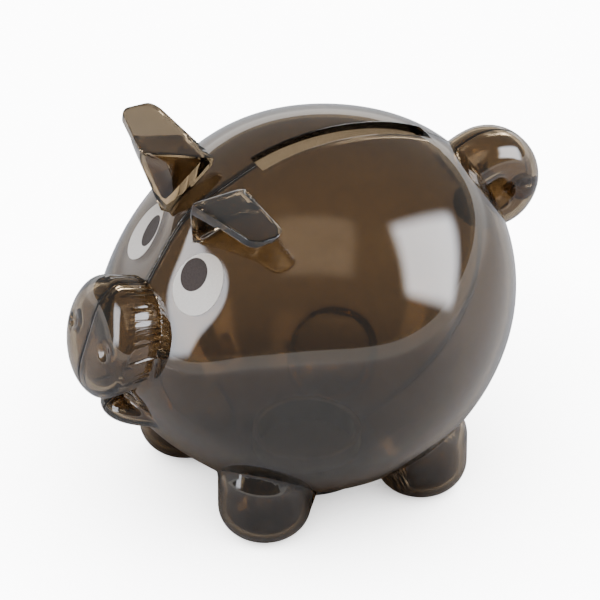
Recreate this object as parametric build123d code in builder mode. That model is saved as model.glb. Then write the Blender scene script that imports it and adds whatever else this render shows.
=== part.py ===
from build123d import *
import math
import os

# Money box in the shape of a standing pig, moulded in smoke-tinted clear plastic as two half shells
# that meet on the centre plane X = 0.  The snout points to -Y, +X is the pig's left side and +Z is up.
# The origin is on the ground, under the middle of the pig's length.  All dimensions are millimetres.

os.makedirs("parts", exist_ok=True)

# ---- shells ----
WALL = 1.8                      # moulded wall thickness
TONGUE_OUTER = 0.5              # depth of the tongue's outer face below the outer skin
TONGUE_INNER = 1.2              # depth of the tongue's inner face below the outer skin
TONGUE_HEIGHT = 1.0             # how far the left shell's tongue reaches past the centre plane
TONGUE_PLAY = 0.06              # clearance around the tongue in its groove

# ---- body: elliptical sections along Y, widest a little behind the middle ----
BODY_MIDDLE_Y = 0.0
BODY_HALF_LENGTH = 48.3
BODY_HALF_WIDTH = 45.8
BODY_HALF_HEIGHT = 42.6
BODY_AXIS_Z = 44.4              # height of the section centres in the middle of the body
BODY_AXIS_RISE = 2.4            # the section centres climb by this much towards the rump
BROW_RISE = 1.0                 # the section centres also swell upwards under the forehead
BROW_PLACE = -0.66              # where that swell is, from -1 at the face to +1 at the rump
BROW_SPREAD = 0.16
BODY_STATIONS = 14
BODY_CAP_ANGLE = 3.0            # degrees from each pole at which the sections stop

# ---- snout: a waisted barrel with a flat disc at its end ----
DISC_Y = -55.6
DISC_Z = 52.4
SNOUT_TILT = 18.3               # the snout points this many degrees upwards
DISC_RADIUS = 13.3
DISC_FLAT_RADIUS = 9.5
DISC_RIM_DEPTH = 4.0
WAIST_RADIUS = 12.1
WAIST_DEPTH = 9.4
ROOT_RADIUS = 15.5
ROOT_DEPTH = 17.0
ROOT_FLARE = (0.8, 1)           # outward and inward parts of the barrel's slope at its root
NOSTRIL_SPACING = 15.4
NOSTRIL_RADIUS = 2.6
NOSTRIL_DEPTH = 0.9

# ---- lower lip ----
LIP_CENTRE_Y = -43.0
LIP_CENTRE_Z = 31.4
LIP_HALF_WIDTH = 12.5
LIP_HALF_LENGTH = 8.4
LIP_HALF_HEIGHT = 3.9

# ---- feet ----
FOOT_RADIUS = 10.6
FOOT_FLAT_RADIUS = 3.5
FRONT_FOOT_X = 19.2
FRONT_FOOT_Y = -21.2
REAR_FOOT_X = 20.6
REAR_FOOT_Y = 18.6
FOOT_ROUND_HEIGHT = 10.0        # height of the rounded lower part
FOOT_TOP = 21.0                 # the foot runs up to here, inside the body

# ---- ears: a flap over a wedge ----
EAR_FRONT = (12.6, -35.3, 88.2)         # top front corner of the inner wall
EAR_BACK = (7.4, -19.3, 84.6)           # top rear corner of the inner wall
EAR_FOOT = (7.1, -32.3, 74.3)           # lowest corner of the inner wall, on the forehead
EAR_TIP_FRONT = (29.8, -29.7, 87.6)
EAR_TIP_BACK = (29.4, -23.0, 87.4)
EAR_WEDGE_REACH = 0.45                  # how far along the flap the wedge runs
EAR_FLAP = 2.0                          # thickness of the flap
EAR_TIP_FILLET = 3.2
EAR_EDGE_FILLET = 0.8
EAR_SINK = 5.0                          # the wedge reaches this far into the body
EAR_KEEL = 2.5                          # width of the wedge along its sunken edge
EAR_KEEL_SHIFT = 1.0                    # the keel sits this far outside and behind the inner wall

# ---- tail: a thick curl in the centre plane ----
TAIL_RADIUS = 6.0
TAIL_CENTRE_Y = 46.2
TAIL_CENTRE_Z = 62.6
TAIL_CURL_RADIUS = 6.8
TAIL_ROOT_REACH = 14.0          # the tail starts this far in front of its curl, inside the rump
TAIL_ROOT_RISE = 1.5
TAIL_ROOT_SLOPE = 37.0          # degrees, climbing to the rear

# ---- coin slot ----
SLOT_WIDTH = 5.8
SLOT_LENGTH = 43.4
SLOT_MIDDLE_Y = 9.0
SLOT_FLOOR_Z = 74.0
SLOT_TOP_Z = 90.0

# ---- belly opening and its stopper ----
PLUG_Y = 0.0
HOLE_RADIUS = 13.2
PLUG_PLAY = 0.05
BOSS_RADIUS = 16.6
BOSS_FACE_Z = 2.6               # flat ring that the stopper's flange rests against
BOSS_TOP_Z = 6.0
FLANGE_RADIUS = 15.8
FLANGE_BOTTOM_Z = 1.0
PLUG_TOP_Z = 9.0
PLUG_WALL = 1.6
PRY_NOTCH_WIDTH = 6.0
PRY_NOTCH_DEPTH = 1.2

# ---- printed eyes ----
INK = 0.15                      # thickness of the printed film
EYE_X = 12.0
EYE_Y = -34.4
EYE_Z = 66.3
EYE_FACING = (0.30, -0.73, 0.61)        # outward direction of the left eye
EYE_HALF_WIDTH = 6.2
EYE_HALF_HEIGHT = 7.5
PUPIL_RADIUS = 3.5
PUPIL_INWARD = 2.0              # the pupil sits towards the snout from the white's centre
PUPIL_UP = 1.4
PRINT_DEPTH = 6.0               # half depth of the stamp that cuts the film out

SPAN = 300.0                    # larger than the whole object
SNOUT_DIRECTION = Vector(0, -math.cos(math.radians(SNOUT_TILT)), math.sin(math.radians(SNOUT_TILT)))


def width_factor(t):
    """Fullness of the body's width at t, from -1 at the face to +1 at the rump."""
    return 1 + 0.10 * t - 0.25 * t**2 - 0.11 * t**3 + 0.30 * t**4


def height_factor(t):
    """Fullness of the body's height: flatter towards the face, fuller towards the rump."""
    return 1 + 0.20 * t**3 - 0.08 * t**4


def axis_height(t):
    """Height of the section centres: a gentle climb to the rear and a swell under the forehead."""
    swell = math.exp(-(((t - BROW_PLACE) / BROW_SPREAD) ** 2))
    return BODY_AXIS_Z + BODY_AXIS_RISE * t + BROW_RISE * swell


def body_form(inset):
    """The egg-shaped trunk and head, shrunk by inset all round."""
    half_length = BODY_HALF_LENGTH - inset
    with BuildPart() as form:
        for station in range(BODY_STATIONS):
            share = station / (BODY_STATIONS - 1)
            angle = math.radians(BODY_CAP_ANGLE + share * (180 - 2 * BODY_CAP_ANGLE))
            t = -math.cos(angle)
            half_width = (BODY_HALF_WIDTH - inset) * math.sin(angle) * width_factor(t)
            half_height = (BODY_HALF_HEIGHT - inset) * math.sin(angle) * height_factor(t)
            centre = (0, BODY_MIDDLE_Y + half_length * t, axis_height(t))
            with BuildSketch(Plane(origin=centre, x_dir=(1, 0, 0), z_dir=(0, 1, 0))):
                Ellipse(half_width, half_height)
        loft()
    return form.part


def snout_form(inset):
    """The snout's barrel, revolved about its tilted axis, shrunk by inset all round."""
    disc_middle = Vector(0, DISC_Y, DISC_Z)
    across = Vector(1, 0, 0)
    side = Plane(origin=disc_middle, x_dir=across, z_dir=SNOUT_DIRECTION.cross(across))
    flat = (DISC_FLAT_RADIUS - inset / 2, inset)
    rim = (DISC_RADIUS - inset, DISC_RIM_DEPTH + inset / 2)
    waist = (WAIST_RADIUS - inset, WAIST_DEPTH)
    root = (ROOT_RADIUS - inset, ROOT_DEPTH)
    with BuildPart() as form:
        with BuildSketch(side):
            with BuildLine():
                Line((0, inset), flat)
                Spline(flat, rim, waist, root, tangents=((1, 0), ROOT_FLARE))
                Line(root, (0, ROOT_DEPTH))
                Line((0, ROOT_DEPTH), (0, inset))
            make_face()
        revolve(axis=Axis(disc_middle, SNOUT_DIRECTION))
    return form.part


def lip_form(inset):
    """The lower lip, a flattened ball that stands out under the snout."""
    with BuildPart() as form:
        Sphere(1)
        scale(by=(LIP_HALF_WIDTH - inset, LIP_HALF_LENGTH - inset, LIP_HALF_HEIGHT - inset))
    return form.part.moved(Location((0, LIP_CENTRE_Y, LIP_CENTRE_Z)))


def foot_form(x, y, inset):
    """One stubby foot with a rounded base and a small flat to stand on."""
    radius = FOOT_RADIUS - inset
    flat = FOOT_FLAT_RADIUS - inset / 2
    with BuildPart() as form:
        with BuildSketch(Plane(origin=(x, y, 0), x_dir=(1, 0, 0), z_dir=(0, -1, 0))):
            with BuildLine():
                Line((0, inset), (flat, inset))
                Spline((flat, inset), (radius, FOOT_ROUND_HEIGHT), tangents=((1, 0), (0, 1)))
                Line((radius, FOOT_ROUND_HEIGHT), (radius, FOOT_TOP))
                Line((radius, FOOT_TOP), (0, FOOT_TOP))
                Line((0, FOOT_TOP), (0, inset))
            make_face()
        revolve(axis=Axis((x, y, 0), (0, 0, 1)))
    return form.part


def tail_form(inset):
    """The curl: a fat round bar bent over the back, ending in a ball."""
    centre = Vector(0, TAIL_CENTRE_Y, TAIL_CENTRE_Z)
    start = centre + Vector(0, -TAIL_ROOT_REACH, TAIL_ROOT_RISE)
    slope = math.radians(TAIL_ROOT_SLOPE)
    top = centre + Vector(0, 0, TAIL_CURL_RADIUS)
    rear = centre + Vector(0, TAIL_CURL_RADIUS, 0)
    end = centre + Vector(0, 0, -TAIL_CURL_RADIUS)
    with BuildPart() as form:
        with BuildLine() as path:
            Spline(start, top, tangents=((0, math.cos(slope), math.sin(slope)), (0, 1, 0)))
            ThreePointArc(top, rear, end)
        with BuildSketch(Plane(origin=path.line @ 0, z_dir=path.line % 0)):
            Circle(TAIL_RADIUS - inset)
        sweep(transition=Transition.ROUND)
        with Locations(end):
            Sphere(TAIL_RADIUS - inset)
    return form.part


def joined(pieces):
    """One solid out of pieces that run into each other."""
    with BuildPart() as whole:
        for piece in pieces:
            add(piece)
    return whole.part


def hollow_form(inset):
    """Everything that the mould's core fills, shrunk by inset: body, snout, lip, feet and tail."""
    pieces = [body_form(inset), snout_form(inset), lip_form(inset), tail_form(inset)]
    for side in (-1, 1):
        pieces.append(foot_form(side * FRONT_FOOT_X, FRONT_FOOT_Y, inset))
        pieces.append(foot_form(side * REAR_FOOT_X, REAR_FOOT_Y, inset))
    return joined(pieces)


def ear_corner(corner, side):
    """A corner of the left ear, or its mirror image on the right."""
    return Vector(side * corner[0], corner[1], corner[2])


def ear_plane(side):
    """The plane of the flap's top face, with its X axis along the front rim."""
    front = ear_corner(EAR_FRONT, side)
    along = ear_corner(EAR_TIP_FRONT, side) - front
    upward = along.cross(ear_corner(EAR_BACK, side) - front) * side
    return Plane(origin=front, x_dir=along, z_dir=upward)


def flat_outline(plane, corners):
    """The corners as points of a sketch on the plane."""
    local = [plane.to_local_coords(corner) for corner in corners]
    return [(point.X, point.Y) for point in local]


def ear_flap(side):
    """The ear's top leaf: a thin plate with a rounded tip and soft edges."""
    plane = ear_plane(side)
    corners = [ear_corner(place, side) for place in (EAR_FRONT, EAR_TIP_FRONT, EAR_TIP_BACK, EAR_BACK)]
    with BuildPart() as flap:
        with BuildSketch(plane) as leaf:
            with BuildLine():
                Polyline(*flat_outline(plane, corners), close=True)
            make_face()
            fillet(leaf.vertices().sort_by_distance(corners[1])[:2], EAR_TIP_FILLET)
        extrude(amount=-EAR_FLAP)
        fillet(flap.faces().sort_by(Axis(plane.origin, plane.z_dir))[-1].edges(), EAR_EDGE_FILLET)
    return flap.part


def ear_wedge(side, inset):
    """The block that carries the flap, tapering to a narrow edge that is sunk into the forehead."""
    front, back = ear_corner(EAR_FRONT, side), ear_corner(EAR_BACK, side)
    outer_front = front + (ear_corner(EAR_TIP_FRONT, side) - front) * EAR_WEDGE_REACH
    outer_back = back + (ear_corner(EAR_TIP_BACK, side) - back) * EAR_WEDGE_REACH
    shift = side * EAR_KEEL_SHIFT
    keel_front = ear_corner(EAR_FOOT, side) + Vector(shift, EAR_KEEL_SHIFT, -EAR_SINK - 2 * inset)
    keel_back = back + Vector(shift, 0, -EAR_SINK - EAR_FLAP - 2 * inset)
    keel_width = Vector(side * EAR_KEEL, 0, 0)
    top_plane = ear_plane(side).offset(-inset)
    keel_plane = Plane(origin=keel_front, x_dir=keel_width, z_dir=keel_width.cross(keel_back - keel_front))
    with BuildPart() as wedge:
        with BuildSketch(top_plane):
            with BuildLine():
                Polyline(*flat_outline(top_plane, [front, outer_front, outer_back, back]), close=True)
            make_face()
            if inset > 0:
                offset(amount=-inset, kind=Kind.INTERSECTION, mode=Mode.REPLACE)
        with BuildSketch(keel_plane):
            keel = [keel_front, keel_front + keel_width, keel_back + keel_width, keel_back]
            with BuildLine():
                Polyline(*flat_outline(keel_plane, keel), close=True)
            make_face()
        loft(ruled=True)
    return wedge.part


def shell_blank():
    """Both shells in one piece, before they are parted on the centre plane."""
    outside = [hollow_form(0)]
    inside = [hollow_form(WALL)]
    for side in (-1, 1):
        outside += [ear_wedge(side, 0), ear_flap(side)]
        inside.append(ear_wedge(side, WALL))
    with BuildPart() as blank:
        for piece in outside:
            add(piece)
        for piece in inside:
            add(piece, mode=Mode.SUBTRACT)
        with BuildSketch(Plane.XY.offset(BOSS_FACE_Z)):
            with Locations((0, PLUG_Y)):
                Circle(BOSS_RADIUS)
        extrude(amount=BOSS_TOP_Z - BOSS_FACE_Z)
        with BuildSketch(Plane.XY):
            with Locations((0, PLUG_Y)):
                Circle(BOSS_RADIUS)
        extrude(amount=BOSS_FACE_Z, mode=Mode.SUBTRACT)
        for side in (-1, 1):
            with Locations(nostril_place(side)):
                Sphere(NOSTRIL_RADIUS, mode=Mode.SUBTRACT)
    return blank.part


def nostril_place(side):
    """Centre of the ball that presses one nostril into the disc."""
    out = NOSTRIL_RADIUS - NOSTRIL_DEPTH
    middle = Vector(side * NOSTRIL_SPACING / 2, DISC_Y, DISC_Z)
    return middle + SNOUT_DIRECTION * out


def joint_band(outer, inner, reach):
    """The strip inside the wall that the tongue fills, from the centre plane out to reach."""
    outside = hollow_form(outer)
    inside = hollow_form(inner)
    with BuildPart() as band:
        add(outside)
        add(inside, mode=Mode.SUBTRACT)
        with BuildSketch(Plane.YZ):
            Rectangle(SPAN, SPAN)
        extrude(amount=-reach, mode=Mode.INTERSECT)
    return band.part


def openings_form():
    """The coin slot and the round belly hole, as solids to cut away."""
    with BuildPart() as openings:
        with BuildSketch(Plane.XY.offset(SLOT_FLOOR_Z)):
            with Locations((0, SLOT_MIDDLE_Y)):
                Rectangle(SLOT_WIDTH, SLOT_LENGTH)
        extrude(amount=SLOT_TOP_Z - SLOT_FLOOR_Z)
        with BuildSketch(Plane.XY):
            with Locations((0, PLUG_Y)):
                Circle(HOLE_RADIUS)
        extrude(amount=PLUG_TOP_Z)
    return openings.part


def half_shell(blank, side):
    """One half of the blank: side is +1 for the pig's left and -1 for its right."""
    openings = openings_form()
    if side > 0:
        band = joint_band(TONGUE_OUTER, TONGUE_INNER, TONGUE_HEIGHT)
        band_mode = Mode.ADD
    else:
        play = TONGUE_PLAY
        band = joint_band(TONGUE_OUTER - play, TONGUE_INNER + play, TONGUE_HEIGHT + play)
        band_mode = Mode.SUBTRACT
    with BuildPart() as half:
        add(blank)
        with BuildSketch(Plane.YZ):
            Rectangle(SPAN, SPAN)
        extrude(amount=side * SPAN, mode=Mode.INTERSECT)
        add(band, mode=band_mode)
        add(openings, mode=Mode.SUBTRACT)
    return half.part


def belly_stopper():
    """The push-in cup that closes the belly hole, with a notch to lever it out."""
    radius = HOLE_RADIUS - PLUG_PLAY
    with BuildPart() as stopper:
        with BuildSketch(Plane.XY.offset(FLANGE_BOTTOM_Z)):
            with Locations((0, PLUG_Y)):
                Circle(FLANGE_RADIUS)
            with Locations((0, PLUG_Y + FLANGE_RADIUS)):
                Rectangle(PRY_NOTCH_WIDTH, 2 * PRY_NOTCH_DEPTH, mode=Mode.SUBTRACT)
        extrude(amount=BOSS_FACE_Z - FLANGE_BOTTOM_Z)
        with BuildSketch(Plane.XY.offset(BOSS_FACE_Z)):
            with Locations((0, PLUG_Y)):
                Circle(radius)
        extrude(amount=PLUG_TOP_Z - BOSS_FACE_Z)
        with BuildSketch(Plane.XY.offset(BOSS_FACE_Z)):
            with Locations((0, PLUG_Y)):
                Circle(radius - PLUG_WALL)
        extrude(amount=PLUG_TOP_Z - BOSS_FACE_Z, mode=Mode.SUBTRACT)
    return stopper.part


def eye_plane(side):
    """The plane that faces one eye, level across and touching the forehead."""
    facing = Vector(side * EYE_FACING[0], EYE_FACING[1], EYE_FACING[2])
    level = Vector(0, 0, 1).cross(facing)
    return Plane(origin=(side * EYE_X, EYE_Y, EYE_Z), x_dir=level, z_dir=facing)


def printed_film(side, pupil):
    """One layer of ink on the forehead: the pupil, or the white with the pupil's place left open."""
    inward = -side * PUPIL_INWARD
    raised = body_form(-INK)
    underneath = [body_form(0), snout_form(0), ear_wedge(side, 0)]
    with BuildPart() as film:
        with BuildSketch(eye_plane(side)):
            if pupil:
                with Locations((inward, PUPIL_UP)):
                    Circle(PUPIL_RADIUS)
            else:
                Ellipse(EYE_HALF_WIDTH, EYE_HALF_HEIGHT)
                with Locations((inward, PUPIL_UP)):
                    Circle(PUPIL_RADIUS, mode=Mode.SUBTRACT)
        extrude(amount=PRINT_DEPTH, both=True)
        add(raised, mode=Mode.INTERSECT)
        for piece in underneath:
            add(piece, mode=Mode.SUBTRACT)
    return film.part


def write_piece(piece, name):
    """Labels a finished piece and writes its STEP file."""
    piece.label = name
    export_step(piece, f"parts/{name}.step")


blank = shell_blank()
shell_left = half_shell(blank, 1)
shell_right = half_shell(blank, -1)
write_piece(shell_left, "shell_left")
write_piece(shell_right, "shell_right")
write_piece(belly_stopper(), "belly_plug")
for side, hand in ((1, "left"), (-1, "right")):
    write_piece(printed_film(side, False), f"eye_white_{hand}")
    write_piece(printed_film(side, True), f"eye_pupil_{hand}")
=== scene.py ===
"""Looks of a see-through, smoke-brown money box in the shape of a standing pig.

The box is two glossy half shells with a real wall between an outer and an inner skin.  They meet on
the centre plane X = 0.  The snout points to -Y, +X is the pig's left side and +Z is up.  Lengths are
metres.  The skin is the zero level of one smooth field, in which the trunk, snout, lip, feet and
belly pad run into each other; the shells, the printed eyes and the parting lines are all read off it.
"""

import logging
import math
from dataclasses import dataclass
from enum import Enum

import bpy
import numpy as np
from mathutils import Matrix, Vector


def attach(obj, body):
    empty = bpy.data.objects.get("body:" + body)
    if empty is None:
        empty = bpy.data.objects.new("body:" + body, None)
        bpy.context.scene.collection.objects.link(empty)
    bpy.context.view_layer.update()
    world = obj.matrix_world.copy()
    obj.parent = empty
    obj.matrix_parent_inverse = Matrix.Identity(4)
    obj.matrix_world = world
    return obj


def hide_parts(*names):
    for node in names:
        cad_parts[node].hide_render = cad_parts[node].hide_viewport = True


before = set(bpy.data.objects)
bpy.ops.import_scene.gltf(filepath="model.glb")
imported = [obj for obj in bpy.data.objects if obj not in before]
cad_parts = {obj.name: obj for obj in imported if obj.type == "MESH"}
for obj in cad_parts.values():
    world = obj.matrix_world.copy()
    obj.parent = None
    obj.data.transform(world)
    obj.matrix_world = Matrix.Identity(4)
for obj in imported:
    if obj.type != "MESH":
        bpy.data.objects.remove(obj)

LOG = logging.getLogger("money_box")
MILLIMETRE = 0.001
MAIN_BODY = "bank"
STOPPER_BODY = "stopper"


class Side(Enum):
    """The pig's own left and right."""

    LEFT = 1
    RIGHT = -1

    @property
    def label(self) -> str:
        """The side's name in lower case."""
        return self.name.lower()


def mm(*values: float) -> np.ndarray:
    """Millimetres as an array of metres."""
    return np.array(values, dtype=float) * MILLIMETRE


def smooth_union(a: np.ndarray, b: np.ndarray, blend: float) -> np.ndarray:
    """Joins two distance fields with a rounded crease.

    Formula: the smaller of the two, less a quarter of blend times the square of how close they are,
    where closeness falls from 1 at equality to 0 when they differ by blend.

    Args:
        a: Distances to the first form.
        b: Distances to the second form.
        blend: Width of the rounded crease.

    Returns:
        Distances to the joined form.
    """
    near = np.maximum(blend - np.abs(a - b), 0.0) / blend
    return np.minimum(a, b) - near * near * blend / 4


def bump(x: np.ndarray, spread: float) -> np.ndarray:
    """A bell curve: e to the power of minus x over spread, squared."""
    return np.exp(-((x / spread) ** 2))


@dataclass(frozen=True)
class PigForm:
    """The smooth field whose zero level is the outer skin; negative inside.

    The trunk has elliptical sections.  With t running from -1 at the face to +1 at the rump, its
    width and height follow two short polynomials in t.
    """

    middle_y: float = 0.0
    half_length: float = 0.0483
    half_width: float = 0.0458
    half_height: float = 0.0426
    width_shape: tuple = (0.10, -0.25, -0.11, 0.30)
    height_shape: tuple = (0.0, 0.0, 0.20, -0.08)
    axis_z: float = 0.0444
    axis_rise: float = 0.0024
    brow_rise: float = 0.0010
    brow_crest: float = 0.0022
    brow_place: float = -0.66
    brow_spread: float = 0.16
    crest_spread: float = 0.011
    socket_depth: float = 0.0020
    socket_spread: float = 0.010
    snout_tilt: float = math.radians(18.3)
    barrel_radius: float = 0.0120
    barrel_length: float = 0.0240
    rim: tuple = (0.0023, 0.0040, 0.0036)
    flare: tuple = (0.0035, 0.0090, 0.0060)
    disc_round: float = 0.0070
    crease_nostril: float = 0.0008
    crease_snout: float = 0.0012
    crease_lip: float = 0.0012
    crease_foot: float = 0.0008
    crease_pad: float = 0.0006
    disc: tuple = (0.0, -0.0556, 0.0524)
    nostril: tuple = (0.0077, 0.0026, 0.0010)
    lip: tuple = (0.0, -0.0430, 0.0314)
    lip_radii: tuple = (0.0155, 0.0088, 0.0041)
    lip_bend: tuple = (52.0, 5.0)
    foot_radius: float = 0.0106
    foot_round: float = 0.0072
    foot_top: float = 0.0210
    feet: tuple = ((0.0192, -0.0212), (0.0206, 0.0186))
    pad_radius: float = 0.0166
    pad_face: float = 0.0026
    pad_height: float = 0.0080
    pad_cut_rise: float = 10.0
    eye: tuple = (0.0120, -0.0344, 0.0663)
    slot_ends: tuple = (-0.0127, 0.0307)
    hole_radius: float = 0.0132
    farthest: float = 0.0780
    nearest: float = 0.0150

    def taper(self, t: np.ndarray, shape: tuple) -> np.ndarray:
        """One plus a polynomial in t whose coefficients, from the first power up, are the shape."""
        return 1 + sum(share * t**power for power, share in enumerate(shape, 1))

    def trunk(self, p: np.ndarray) -> np.ndarray:
        """Distance to the egg-shaped trunk and head.

        Args:
            p: Points, last axis X, Y, Z.

        Returns:
            Approximate signed distance in metres.
        """
        x, y, z = p[..., 0], p[..., 1], p[..., 2]
        t = (y - self.middle_y) / self.half_length
        k = np.clip(t, -1.0, 1.0)
        width = self.half_width * self.taper(k, self.width_shape)
        height = self.half_height * self.taper(k, self.height_shape)
        swell = bump(k - self.brow_place, self.brow_spread)
        axis = self.axis_z + self.axis_rise * k + self.brow_rise * swell
        above = np.clip((z - axis) / self.half_height, 0.0, 1.0)
        crest = self.brow_crest * swell * bump(x, self.crest_spread) * np.sqrt(above)
        level = np.sqrt((x / width) ** 2 + ((z - axis - crest) / height) ** 2 + t**2)
        socket = np.linalg.norm(np.stack([np.abs(x), y, z], -1) - np.array(self.eye), axis=-1)
        return (level - 1) * self.half_width + self.socket_depth * bump(socket, self.socket_spread)

    def snout(self, p: np.ndarray) -> np.ndarray:
        """Distance to the waisted barrel with its disc.

        The barrel's radius, at depth s behind the disc, is a waist, plus a bell-shaped rim, plus a
        flare that grows with the square of the depth towards the cheeks.

        Args:
            p: Points, last axis X, Y, Z.

        Returns:
            Approximate signed distance in metres.
        """
        inward = np.array([0.0, math.cos(self.snout_tilt), -math.sin(self.snout_tilt)])
        q = p - np.array(self.disc)
        s = q @ inward
        r = np.linalg.norm(q - s[..., None] * inward, axis=-1)
        rim_swell, rim_depth, rim_spread = self.rim
        flare_swell, flare_start, flare_run = self.flare
        flare = np.clip((s - flare_start) / flare_run, 0.0, 1.0) ** 2
        radius = self.barrel_radius + rim_swell * bump(s - rim_depth, rim_spread) + flare_swell * flare
        barrel = -smooth_union(-(r - radius) * 0.97, s, self.disc_round)
        barrel = np.maximum(barrel, s - self.barrel_length)
        offset, ball, press = self.nostril
        out = np.abs(q[..., 0]) - offset
        level = q @ np.array([0.0, math.sin(self.snout_tilt), math.cos(self.snout_tilt)])
        pit = np.sqrt(out**2 + level**2 + (s + ball - press) ** 2) - ball
        return -smooth_union(-barrel, pit, self.crease_nostril)

    def ball(self, p: np.ndarray) -> np.ndarray:
        """Distance to the lower lip, a flattened ball whose ends bend back and up round the face.

        Formula: the ends are moved by the square of X; then level times level minus one, over slope.
        """
        radii = np.array(self.lip_radii)
        bend = np.array([0.0, *self.lip_bend]) * p[..., :1] ** 2
        q = (p - np.array(self.lip) - bend) / radii
        level = np.linalg.norm(q, axis=-1)
        slope = np.linalg.norm(q / radii, axis=-1) + 1e-9
        return level * (level - 1) / slope

    def foot(self, p: np.ndarray, place: tuple) -> np.ndarray:
        """Distance to one foot and its mirror image: an upright cylinder with a well rounded base."""
        x, y, z = np.abs(p[..., 0]), p[..., 1], p[..., 2]
        r = np.hypot(x - place[0], y - place[1]) - (self.foot_radius - self.foot_round)
        h = np.abs(z - self.foot_top / 2) - (self.foot_top / 2 - self.foot_round)
        outside = np.hypot(np.maximum(r, 0.0), np.maximum(h, 0.0))
        return outside + np.minimum(np.maximum(r, h), 0.0) - self.foot_round

    def pad(self, p: np.ndarray) -> np.ndarray:
        """Distance to the flat round pad under the belly, around the stopper's hole."""
        r = np.hypot(p[..., 0], p[..., 1]) - self.pad_radius
        h = np.abs(p[..., 2] - self.pad_face - self.pad_height / 2) - self.pad_height / 2
        return np.maximum(r, h)

    def __call__(self, p: np.ndarray) -> np.ndarray:
        """Signed distance to the whole outer skin, which is cut flat within the pad's circle."""
        field = smooth_union(self.trunk(p), self.snout(p), self.crease_snout)
        field = smooth_union(field, self.ball(p), self.crease_lip)
        for place in self.feet:
            field = smooth_union(field, self.foot(p, place), self.crease_foot)
        field = smooth_union(field, self.pad(p), self.crease_pad)
        off_pad = np.maximum(np.hypot(p[..., 0], p[..., 1]) - self.pad_radius, 0.0)
        return np.maximum(field, self.pad_face - p[..., 2] - self.pad_cut_rise * off_pad)

    @property
    def centre(self) -> np.ndarray:
        """The point that every part of the skin can be seen from."""
        return np.array([0.0, self.middle_y, 0.0450])

    def reach(self, direction: np.ndarray, depth: float = 0.0) -> np.ndarray:
        """How far the skin is from the centre along each direction.

        The field is read at even steps from outside inwards until it turns negative, and the last
        step is halved until it is far below a micrometre.

        Args:
            direction: Unit vectors, last axis X, Y, Z.
            depth: How far below the outer skin to stop.

        Returns:
            Distances from the centre, one for each direction.
        """
        far = np.full(direction.shape[:-1], self.farthest)
        near = np.full(direction.shape[:-1], self.nearest)
        open_ray = np.ones(direction.shape[:-1], dtype=bool)
        steps = np.linspace(self.farthest, self.nearest, 90)
        for outer, inner in zip(steps[:-1], steps[1:]):
            inside = self(self.centre + inner * direction) + depth < 0
            hit = inside & open_ray
            far = np.where(hit, outer, far)
            near = np.where(hit, inner, near)
            open_ray &= ~inside
        for _ in range(18):
            middle = (far + near) / 2
            inside = self(self.centre + middle[..., None] * direction) + depth < 0
            near = np.where(inside, middle, near)
            far = np.where(inside, far, middle)
        return (far + near) / 2

    def middle_line(self, angles: np.ndarray, depth: float = 0.0) -> np.ndarray:
        """Where the centre plane meets the skin, or a depth below it, by angle round the X axis."""
        ray = np.stack([0 * angles, np.cos(angles), np.sin(angles)], axis=-1)
        return self.centre + self.reach(ray, depth)[:, None] * ray

    def middle_angle(self, y: float, above: bool) -> float:
        """Angle, round the X axis, at which the skin's top or underside has the given Y."""
        angle = math.pi / 2 if above else -math.pi / 2
        for _ in range(8):
            reach = np.linalg.norm(self.middle_line(np.array([angle]))[0] - self.centre)
            turn = math.acos((y - self.centre[1]) / reach)
            angle = turn if above else -turn
        return angle

    def onto_skin(self, points: np.ndarray, lift: float = 0.0) -> np.ndarray:
        """Slides points along rays from the centre onto the skin, then lift metres outwards."""
        ray = points - self.centre
        ray = ray / np.linalg.norm(ray, axis=-1, keepdims=True)
        return self.centre + (self.reach(ray) + lift)[..., None] * ray


FORM = PigForm()


def grid_faces(rows: int, columns: int, start: int, wrap: bool) -> np.ndarray:
    """Quads of a grid of vertices stored row by row.

    Args:
        rows: Number of rows.
        columns: Number of columns.
        start: Index of the grid's first vertex.
        wrap: Whether the last column joins the first.

    Returns:
        One row of four vertex indices for each quad.
    """
    i, j = np.meshgrid(np.arange(rows - 1), np.arange(columns if wrap else columns - 1), indexing="ij")
    k = (j + 1) % columns
    quads = np.stack([i * columns + j, i * columns + k, (i + 1) * columns + k, (i + 1) * columns + j], -1)
    return quads.reshape(-1, 4) + start


def cap_faces(row: np.ndarray, pole: int) -> list:
    """Triangles from a closed row of vertices to one pole vertex."""
    return [(int(a), int(b), pole) for a, b in zip(row, np.roll(row, -1))]


def closed_faces(rows: int, columns: int, start: int = 0) -> list:
    """Faces of rows of rings that are closed by a pole at each end.

    Args:
        rows: Number of rings.
        columns: Points on each ring.
        start: Index of the first ring's first vertex; the two poles follow the last ring.

    Returns:
        Vertex indices of each face.
    """
    first = start + np.arange(columns)
    last = first + (rows - 1) * columns
    pole = start + rows * columns
    faces = [tuple(quad) for quad in grid_faces(rows, columns, start, wrap=True)[:, ::-1].tolist()]
    faces += cap_faces(first, pole)
    return faces + [face[::-1] for face in cap_faces(last, pole + 1)]


def on_side(side: Side, points: np.ndarray, faces: list) -> tuple:
    """A left-hand shape as it is, or mirrored in the centre plane with its faces turned back out."""
    if side is Side.LEFT:
        return points, faces
    return points * np.array([-1.0, 1.0, 1.0]), [face[::-1] for face in faces]


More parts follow.
